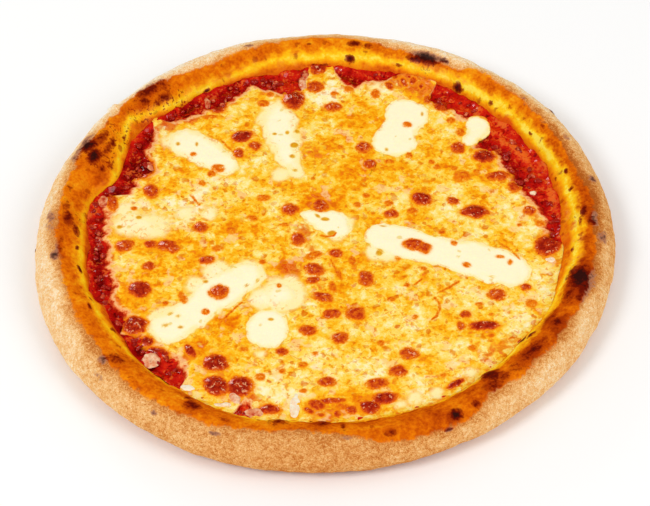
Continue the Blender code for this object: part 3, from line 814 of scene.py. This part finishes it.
def rolled(steps, rows, name):
    """A mesh of a grid rolled into a closed ring, its end rows gathered to points, with the
    direction and the row of each vertex."""
    made = bmesh.new()
    bmesh.ops.create_grid(made, x_segments=steps, y_segments=rows, size=0.5)
    for vertex in made.verts:
        turn = FULL_TURN * (vertex.co.x + 0.5)
        row = round((vertex.co.y + 0.5) * rows)
        reach = 1 if 0 < row < rows else 0
        vertex.co = (reach * math.cos(turn), reach * math.sin(turn), row)
    bmesh.ops.remove_doubles(made, verts=made.verts, dist=1e-4)
    bmesh.ops.recalc_face_normals(made, faces=made.faces)
    mesh = to_mesh(made, name)
    unit = places(mesh)
    return mesh, np.arctan2(unit[:, 1], unit[:, 0]), np.round(unit[:, 2])


def write_values(mesh, values):
    """Values for each vertex, which the materials read by name."""
    for name, value in values.items():
        attribute = mesh.attributes.new(name, "FLOAT", "POINT")
        attribute.data.foreach_set("value", np.asarray(value, np.float32))


def finish_piece(mesh, points, values, material, nodes):
    """Link a piece made of a mesh and its final points in mm; it rides on the pizza's one body."""
    mesh.vertices.foreach_set("co", (np.asarray(points) * MM).astype(np.float32).ravel())
    write_values(mesh, values)
    mesh.materials.clear()
    mesh.materials.append(material)
    mesh.shade_smooth()
    mesh.update()
    piece = bpy.data.objects.new(mesh.name, mesh)
    bpy.context.scene.collection.objects.link(piece)
    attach(piece, "root")
    if nodes:
        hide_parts(*nodes)


def smooth_line(points, spacing):
    """Points about that far apart on a smooth line through the given ones."""
    points = np.array(points, float)
    padded = np.vstack((2 * points[0] - points[1], points, 2 * points[-1] - points[-2]))
    line = []
    for before, start, end, after in zip(padded, padded[1:], padded[2:], padded[3:]):
        count = max(1, round(float(np.hypot(*(end - start))) / spacing))
        for t in np.arange(count) / count:
            line.append(0.5 * (2 * start + (end - before) * t
                               + (2 * before - 5 * start + 4 * end - after) * t ** 2
                               + (3 * start - before - 3 * end + after) * t ** 3))
    return np.array(line + [points[-1]])


# The rim in section, as if truly round, from the bed over the crest to the underside: (radius, height)
RIM_SECTION = (
    (124.5, 5.5), (127.4, 8.5), (128.6, 12.5), (131, 16), (135, 20), (139, 22.4), (143.5, 23.5),
    (148.5, 21.5), (152, 18), (154.2, 14), (155, 10.5), (154, 7), (151, 3.5), (145, 0.8), (139, 0),
)
SECTION_FOOT, SECTION_TOP, SECTION_EDGE = 128.6, 23.5, 155
RIM_MIDDLE = (137, 9.0)              # the middle of that section; lumps swell away from it
HIGHEST = CAD_BOX[1].z / MM + 0.3    # no lump on the rim stands higher
BED_TOP = 5.5                        # the top of the dough under the sauce
SAUCE_INSIDE, SAUCE_UNDER = 7.4, 5.9   # the sauce under the cheese: its top and its underside
CHEESE_UNDER = 7.9                   # the underside of the sheet of cheese
POOL_DEPTH = 1.6                     # how far a pool goes down into the cheese
CHEESE_BORDER = 120                  # about where the ragged edge of the cheese runs
CLEAR_OF_EDGE = 20.0                 # a distance from that edge at which it colours nothing
LEAST_GAP, LEAST_CLEARANCE = 3.5, 3  # a shred lies where the sauce shows that wide, that far from pools
BITS_RISE, BITS_SWELL, BITS_THICKEST = 0.7, 1.15, 1.1   # above the sauce; broader; half thickness


def rim_spots(angle, across, spots, across_of):
    """The strength of spots (degrees, radius, half width along the rim, across, amount)."""
    found = np.zeros(angle.shape)
    for middle, radius, wide, high, amount in spots:
        off = (np.degrees(angle) - middle + 180) % 360 - 180
        centre = across_of(radius, np.radians(middle))
        d = np.hypot(np.radians(off) * radius / wide, (across - centre) / high)
        found = np.maximum(found, amount * np.exp(-0.8 * d ** 2))
    return found


class PIZZA_OT_crust(bpy.types.Operator):
    """Roll the rim's section round, then give the dough its uneven outline, lumps and char"""
    bl_idname = "pizza.crust"
    bl_label = "Crust"

    def execute(self, context):
        sizes = context.scene.pizza_sizes
        rim = smooth_line(RIM_SECTION, sizes.rim_spacing / MM)
        length = np.concatenate(([0], np.cumsum(np.hypot(*np.diff(rim, axis=0).T))))
        widest = np.argmax(rim[:, 0])
        across = length[widest] - length   # 0 at the widest, more over the crest to the bed
        bed = [(radius, BED_TOP) for radius in (0, 60, 110)]
        base = [(radius, 0) for radius in (130, 118, 100, 80, 60, 40, 20, 0)]
        profile = np.vstack((bed, rim, base))
        across_rows = np.concatenate(([across[0]] * len(bed), across, [across[-1]] * len(base)))
        mesh, angle, row = rolled(sizes.rim_steps, len(profile) - 1, "baked_crust")
        radius, height = by_row(row, profile[:, 0]), by_row(row, profile[:, 1])
        across_all = by_row(row, across_rows)
        upper = slice(0, widest + 1)

        def across_of(reach, direction):
            """Where a radius on the top of the real rim comes in the section."""
            foot, edge = FOOT(direction), CRUST_EDGE(direction)
            drawn = SECTION_FOOT + (reach - foot) * (SECTION_EDGE - SECTION_FOOT) / (edge - foot)
            return np.interp(drawn, rim[upper, 0], across[upper])

        # the section is stretched between the uneven foot and the uneven outer edge
        foot, edge = FOOT(angle), CRUST_EDGE(angle)
        stretch = (edge - foot) / (SECTION_EDGE - SECTION_FOOT)
        top = np.where(radius < SECTION_FOOT, radius * foot / SECTION_FOOT,
                       foot + (radius - SECTION_FOOT) * stretch)
        under = row > len(bed) + widest
        moved = np.where(under, radius * edge / SECTION_EDGE, top)
        share = np.clip((height - CHEESE_TOP) / (SECTION_TOP - CHEESE_TOP), 0, 1)
        height = height + (RIM_HEIGHT(angle) - SECTION_TOP) * share
        shaped = turned(moved, angle, height)

        # relief, away from the middle of the section
        chars = rim_spots(angle, across_all, CHARS, across_of)
        torn = rim_spots(angle, across_all, TORN, across_of)
        outward = shaped - turned(RIM_MIDDLE[0], angle, RIM_MIDDLE[1])
        outward /= np.linalg.norm(outward, axis=1)[:, None]
        on_rim = smooth(across_all, -14, -6) * smooth(radius, 125, 130)
        swell = (0.7 * lumps(shaped, 30, 5) + 0.5 * lumps(shaped, 12, 6)
                 + 0.3 * lumps(shaped, 5, 7) + 0.16 * lumps(shaped, 2.3, 8))
        inner = 0.5 * lumps(shaped, 7, 9) * smooth(across_all, 20, 30)
        relief = on_rim * (swell + inner - 0.5 + 0.6 * chars + torn)
        relief = np.minimum(relief, 0.8 + torn)
        shaped += outward * relief[:, None]
        shaped[:, 2] = np.clip(shaped[:, 2], 0, HIGHEST)

        ragged = 0.9 * lumps(shaped, 9, 51) + 0.7 * lumps(shaped, 4, 52)
        yellow = across_all - across_of(YELLOW(angle), angle) + ragged
        gleam = 0.36 * np.exp(-((yellow - 4.0) / 2.2) ** 2) - 0.3 * smooth(yellow, 6, 9.5)
        # the floured side darker towards its bottom: partly browner dough, partly painted shade
        low = smooth(height, 9, 1)
        beneath = smooth(height, 1.5, 0)
        values = {
            "floured": across_all - across_of(FLOURED(angle), angle) + ragged,
            "yellow": yellow,
            "toast": TOASTED(angle),
            "dull_edge": DULL_EDGE(angle),
            "buttery": BUTTERY(angle) + gleam,
            "flour": (FLOUR(angle) - 0.25 * low) * (1 - beneath) + 0.35 * beneath,
            "char": chars,
            "speckled": patches(shaped[:, 0], shaped[:, 1], SPECKLED),
            "stain": 0.6 * smooth(across_all, across_of(foot + 3.5, angle), across_of(foot - 0.5, angle))
                     + patches(shaped[:, 0], shaped[:, 1], STAINS),
        }
        finish_piece(mesh, shaped, values, crust_look(), ["crust"])
        return {"FINISHED"}


class PIZZA_OT_sauce(bpy.types.Operator):
    """Roll out the layer of tomato sauce and raise its lumps round the cheese"""
    bl_idname = "pizza.sauce"
    bl_label = "Tomato sauce"

    def execute(self, context):
        sizes = context.scene.pizza_sizes
        ring = np.linspace(98, SECTION_FOOT + 0.6, sizes.sauce_rings)
        shown = [(radius, SAUCE_TOP) for radius in ring]
        covered_bed = [(radius, SAUCE_INSIDE) for radius in (0, 50, 80)]
        underside = [(126, SAUCE_UNDER + 0.5), (120, SAUCE_UNDER), (0, SAUCE_UNDER)]
        profile = np.array(covered_bed + shown + underside)
        mesh, angle, row = rolled(sizes.rim_steps, len(profile) - 1, "tomato_sauce")
        radius, height = by_row(row, profile[:, 0]), by_row(row, profile[:, 1])
        moved = radius * FOOT(angle) / SECTION_FOOT
        shaped = turned(moved, angle, height)
        raised = (1.1 * lumps(shaped, 8, 11) + 0.9 * lumps(shaped, 4.2, 12)
                  + 0.2 * lumps(shaped, 2, 13))
        climb = 1.6 * smooth(FOOT(angle) - moved, 4, -1)
        _, within = into_pools(shaped[:, 0], shaped[:, 1])
        covered = np.maximum(smooth(CHEESE_REACH(angle) - moved, 2.5, 6),
                             0.6 * smooth(within, -0.5, 1.5))
        lift = (raised + 0.1) * (1 - covered) + climb - 2 * covered
        shaped[:, 2] += (height > SAUCE_TOP - 0.1) * lift
        # the lumps' tops are painted lighter and their hollows darker: painted light and shade on the
        # sauce
        values = {"bright": rim_spots(angle, moved, BRIGHT_SAUCE, lambda reach, _: reach)
                            + 0.35 * raised + 0.3 * smooth(FOOT(angle) - moved, 4, 0),
                  "dark": rim_spots(angle, moved, DARK_SAUCE, lambda reach, _: reach)}
        finish_piece(mesh, shaped, values, sauce_look(), ["sauce"])
        return {"FINISHED"}


class PIZZA_OT_cheese(bpy.types.Operator):
    """Round a grid into the sheet of melted cheese, with its blisters and ragged edge"""
    bl_idname = "pizza.cheese"
    bl_label = "Melted cheese"

    def execute(self, context):
        sizes = context.scene.pizza_sizes
        made = bmesh.new()
        bmesh.ops.create_grid(made, x_segments=sizes.cheese_grid, y_segments=sizes.cheese_grid, size=1)
        rim = [edge for edge in made.edges if edge.is_boundary]
        skirt = bmesh.ops.extrude_edge_only(made, edges=rim)["geom"]
        lower = [part for part in skirt if isinstance(part, bmesh.types.BMVert)]
        bmesh.ops.translate(made, verts=lower, vec=(0, 0, -1))
        hem = [part for part in skirt if isinstance(part, bmesh.types.BMEdge) and part.is_boundary]
        closing = bmesh.ops.extrude_edge_only(made, edges=hem)["geom"]
        inner = [part for part in closing if isinstance(part, bmesh.types.BMVert)]
        bmesh.ops.pointmerge(made, verts=inner, merge_co=(0, 0, -1))
        bmesh.ops.recalc_face_normals(made, faces=made.faces)
        mesh = to_mesh(made, "melted_cheese")

        square = places(mesh)
        x = square[:, 0] * np.sqrt(1 - square[:, 1] ** 2 / 2)
        y = square[:, 1] * np.sqrt(1 - square[:, 0] ** 2 / 2)
        angle, share = np.arctan2(y, x), np.hypot(x, y)
        border = turned(CHEESE_BORDER, angle, 0)
        foot = FOOT(angle)
        ragged = 2.2 * lumps(border, 6, 21) + 1.8 * lumps(border, 3, 22)
        tucked = smooth(CHEESE_REACH(angle), foot - 3, foot - 0.5)
        reach = np.minimum(CHEESE_REACH(angle) + ragged, foot + 1)
        reach = reach + (foot + 1 - reach) * tucked
        radius = share * reach
        x, y = radius * np.cos(angle), radius * np.sin(angle)
        height, within, values = cheese_surface(x, y)
        height -= 1.6 * smooth(within, 1.0, 2.5)
        to_edge = reach - radius
        near_edge = np.clip(1 - to_edge / 5, 0, 1) ** 2
        height -= 2.0 * near_edge * (1 - tucked)
        height += 1.4 * near_edge * tucked
        z = np.where(square[:, 2] < -0.5, CHEESE_UNDER, height)
        values["edge"] = to_edge + 9 * tucked
        points = np.column_stack((x, y, z))
        streaks = 0.5 + 0.7 * lumps(points, 7, 23)
        values["blush"] += streaks * smooth(to_edge, 10, 1) * (1 - 0.6 * tucked)
        finish_piece(mesh, points, values, melted_look("melted_cheese"), ["cheese"])
        return {"FINISHED"}


class PIZZA_OT_mozzarella(bpy.types.Operator):
    """Melt each pool of mozzarella into the cheese, on the outline that the frame gives"""
    bl_idname = "pizza.mozzarella"
    bl_label = "Mozzarella pools"

    def execute(self, context):
        sizes = context.scene.pizza_sizes
        material = melted_look("mozzarella")
        for node, (middle, ring) in POOLS.items():
            shares = list(np.linspace(0, 1, sizes.pool_rings)) + [0.97, 0]
            mesh, turn, row = rolled(sizes.pool_steps, len(shares) - 1, "melted_" + node)
            share = by_row(row, shares)
            spokes = np.arctan2(ring[:, 1] - middle[1], ring[:, 0] - middle[0])
            lengths = np.hypot(*(ring - middle).T)
            out = np.interp(turn, spokes, lengths, period=FULL_TURN)
            centre = (middle[0], middle[1], 0)
            edge = turned(out, turn, 0) + centre
            out = out + 0.5 * lumps(edge, 5, 31) + 0.3 * lumps(edge, 2.4, 32) + 0.4
            points = turned(share * out, turn, 0) + centre
            height, _, values = cheese_surface(points[:, 0], points[:, 1])
            rise = 0.5 * smooth((1 - share) * out, 0, 3.5) - 0.2
            points[:, 2] = np.where(row < sizes.pool_rings, height + rise, CHEESE_TOP - POOL_DEPTH)
            values["edge"] = np.full(len(points), CLEAR_OF_EDGE)
            finish_piece(mesh, points, values, material, [node])
        return {"FINISHED"}


class PIZZA_OT_bits(bpy.types.Operator):
    """Drop the small lumps of mozzarella that lie against the rim"""
    bl_idname = "pizza.bits"
    bl_label = "Mozzarella bits"

    def execute(self, context):
        bits = list(BITS)
        tried = np.radians(random.uniform(0, 360, context.scene.pizza_sizes.shreds))
        gap = FOOT(tried) - CHEESE_REACH(tried)
        radii = CHEESE_REACH(tried) + random.uniform(-0.05, 0.7, len(tried)) * gap
        _, within = into_pools(radii * np.cos(tried), radii * np.sin(tried))
        room = (gap > LEAST_GAP) & (within < -LEAST_CLEARANCE)
        for angle, radius in zip(tried[room], radii[room]):
            bits.append((math.degrees(angle), radius, random.uniform(0.7, 2.0), random.uniform(0.6, 1.3),
                         random.uniform(0, 180), random.uniform(1.0, 1.6)))
        made = bmesh.new()
        layer = made.verts.layers.float.new("pink")
        for degrees, radius, wide, high, turn, pink in bits:
            angle = math.radians(degrees)
            place = Matrix.Translation((radius * math.cos(angle), radius * math.sin(angle),
                                        SAUCE_TOP + BITS_RISE))
            size = Matrix.Diagonal((wide * BITS_SWELL, high * BITS_SWELL, min(BITS_THICKEST, wide), 1))
            spin = Matrix.Rotation(math.radians(turn), 4, "Z")
            fineness = 4 if wide > 2.2 else 3
            lump = bmesh.ops.create_icosphere(made, subdivisions=fineness, radius=1,
                                              matrix=place @ spin @ size)
            for vertex in lump["verts"]:
                vertex[layer] = pink
        mesh = to_mesh(made, "mozzarella_bits")
        points = places(mesh)
        for axis, reach in enumerate((0.7, 0.7, 0.4)):
            points[:, axis] += reach * lumps(places(mesh), 3.2, 61 + axis)
            points[:, axis] += 0.2 * reach * lumps(places(mesh), 1.4, 64 + axis)
        finish_piece(mesh, points, {}, bits_look(), [])
        return {"FINISHED"}


class PIZZA_OT_stage(bpy.types.Operator):
    """Lay the pale floor and set the soft light and the camera"""
    bl_idname = "pizza.stage"
    bl_label = "Stage"

    def execute(self, context):
        stage = context.scene.pizza_stage
        made = bmesh.new()
        bmesh.ops.create_grid(made, x_segments=1, y_segments=1, size=6,
                              matrix=Matrix.Translation((0, 0, -0.0002)))
        floor = bpy.data.objects.new("floor", to_mesh(made, "floor"))
        context.scene.collection.objects.link(floor)
        pale = Look("floor", {"Base Color": tuple(stage.floor_colour) + (1,), "Roughness": 0.9,
                              "Specular IOR Level": 0.0})
        floor.data.materials.append(pale.material)
        floor.visible_glossy = False

        world = bpy.data.worlds.new("soft_studio")
        world.use_nodes = True
        world.node_tree.nodes["Background"].inputs["Color"].default_value = (1, 0.99, 0.97, 1)
        world.node_tree.nodes["Background"].inputs["Strength"].default_value = stage.fill
        world.cycles_visibility.glossy = False
        context.scene.world = world
        # each light's name, place, width and power
        for name, place, size, power in (("left", (-1.6, -1.2, 2.1), 1.0, stage.left),
                                         ("right", (1.8, -1.0, 1.8), 1.6, stage.right),
                                         ("back", (-0.6, 1.1, 0.5), 0.3, stage.back)):
            light = bpy.data.lights.new(name, "AREA")
            light.shape, light.size, light.energy = "DISK", size, power
            lamp = bpy.data.objects.new(name, light)
            lamp.location = place
            lamp.rotation_euler = (-Vector(place)).to_track_quat("-Z", "Y").to_euler()
            context.scene.collection.objects.link(lamp)

        tilt = math.radians(stage.elevation)
        middle = Vector((0, 0, 0.011))
        eye = middle + stage.distance * Vector((0, -math.cos(tilt), math.sin(tilt)))
        aim = Vector((0, -0.012, 0.011))
        lens = bpy.data.cameras.new("camera")
        lens.lens, lens.sensor_width = stage.focal, 36
        camera = bpy.data.objects.new("camera", lens)
        camera.location = eye
        camera.rotation_euler = (aim - eye).to_track_quat("-Z", "Y").to_euler()
        context.scene.collection.objects.link(camera)
        context.scene.camera = camera
        context.scene.view_settings.view_transform = "Standard"
        return {"FINISHED"}


class PizzaSizes(bpy.types.PropertyGroup):
    rim_spacing: FloatProperty(name="Rim spacing", description="Between points of the rim's section",
                               default=0.00062, subtype="DISTANCE", precision=5)
    rim_steps: IntProperty(name="Rim steps", description="Steps round the crust and the sauce",
                           default=760)
    sauce_rings: IntProperty(name="Sauce rings", description="Rings in the sauce that shows",
                             default=48)
    cheese_grid: IntProperty(name="Cheese grid", description="Squares along the sheet of cheese",
                             default=308)
    pool_rings: IntProperty(name="Pool rings", description="Rings in a pool of mozzarella", default=30)
    pool_steps: IntProperty(name="Pool steps", description="Steps round a pool", default=150)
    shreds: IntProperty(name="Shreds", description="Shreds of cheese tried round the edge", default=260)


def colour(name, description, *shown):
    """A colour property, given as it shows on screen."""
    return FloatVectorProperty(name=name, description=description, subtype="COLOR", size=4,
                               min=0, max=1, default=rgb(*shown))


class PizzaColours(bpy.types.PropertyGroup):
    sauce: colour("Sauce", "Fresh tomato sauce", 192, 12, 3)
    cheese: colour("Cheese", "Melted cheese", 253, 206, 68)
    gold: colour("Golden cheese", "Cheese baked golden", 249, 164, 14)
    mozzarella: colour("Mozzarella", "Thick melted mozzarella", 255, 246, 206)
    blister: colour("Blister", "Browned blisters on the cheese", 198, 56, 3)
    flour: colour("Flour", "The floured side of the crust", 238, 178, 108)
    band: colour("Band", "The baked band over the rim", 204, 86, 6)
    butter: colour("Inner slope", "The inner slope of the rim", 252, 176, 14)


class PizzaStage(bpy.types.PropertyGroup):
    floor_colour: FloatVectorProperty(name="Floor", description="Colour of the floor",
                                      subtype="COLOR", default=(0.98, 0.98, 0.98))
    fill: FloatProperty(name="Fill", description="Strength of the light from all round", default=0.6)
    left: FloatProperty(name="Left", description="Power of the left light", subtype="POWER", default=28)
    right: FloatProperty(name="Right", description="Power of the right light", subtype="POWER", default=20)
    back: FloatProperty(name="Back", description="Power of the rear light", subtype="POWER", default=1.5)
    elevation: FloatProperty(name="Elevation", description="Camera's height, degrees", default=47.58)
    distance: FloatProperty(name="Distance", description="From camera to pizza", subtype="DISTANCE",
                            default=1.2)
    focal: FloatProperty(name="Focal length", description="Camera's focal length, mm", default=124.4)


class PIZZA_PT_panel(bpy.types.Panel):
    """A button for each step, and the sizes, colours and light that the steps read"""
    bl_label = "Margherita pizza"
    bl_space_type = "VIEW_3D"
    bl_region_type = "UI"
    bl_category = "Pizza"

    def draw(self, context):
        for operator in STEPS:
            self.layout.operator(operator.bl_idname)
        scene = context.scene
        for group in (scene.pizza_sizes, scene.pizza_colours, scene.pizza_stage):
            for name in group.__annotations__:
                self.layout.prop(group, name)


STEPS = (PIZZA_OT_crust, PIZZA_OT_sauce, PIZZA_OT_cheese, PIZZA_OT_mozzarella, PIZZA_OT_bits,
         PIZZA_OT_stage)
CLASSES = (PizzaSizes, PizzaColours, PizzaStage, PIZZA_PT_panel) + STEPS


def register():
    for cls in CLASSES:
        bpy.utils.register_class(cls)
    bpy.types.Scene.pizza_sizes = PointerProperty(type=PizzaSizes)
    bpy.types.Scene.pizza_colours = PointerProperty(type=PizzaColours)
    bpy.types.Scene.pizza_stage = PointerProperty(type=PizzaStage)


def unregister():
    del bpy.types.Scene.pizza_sizes
    del bpy.types.Scene.pizza_colours
    del bpy.types.Scene.pizza_stage
    for cls in reversed(CLASSES):
        bpy.utils.unregister_class(cls)


def main():
    register()
    bpy.ops.pizza.crust()
    bpy.ops.pizza.sauce()
    bpy.ops.pizza.cheese()
    bpy.ops.pizza.mozzarella()
    bpy.ops.pizza.bits()
    bpy.ops.pizza.stage()


if __name__ == "__main__":
    main()
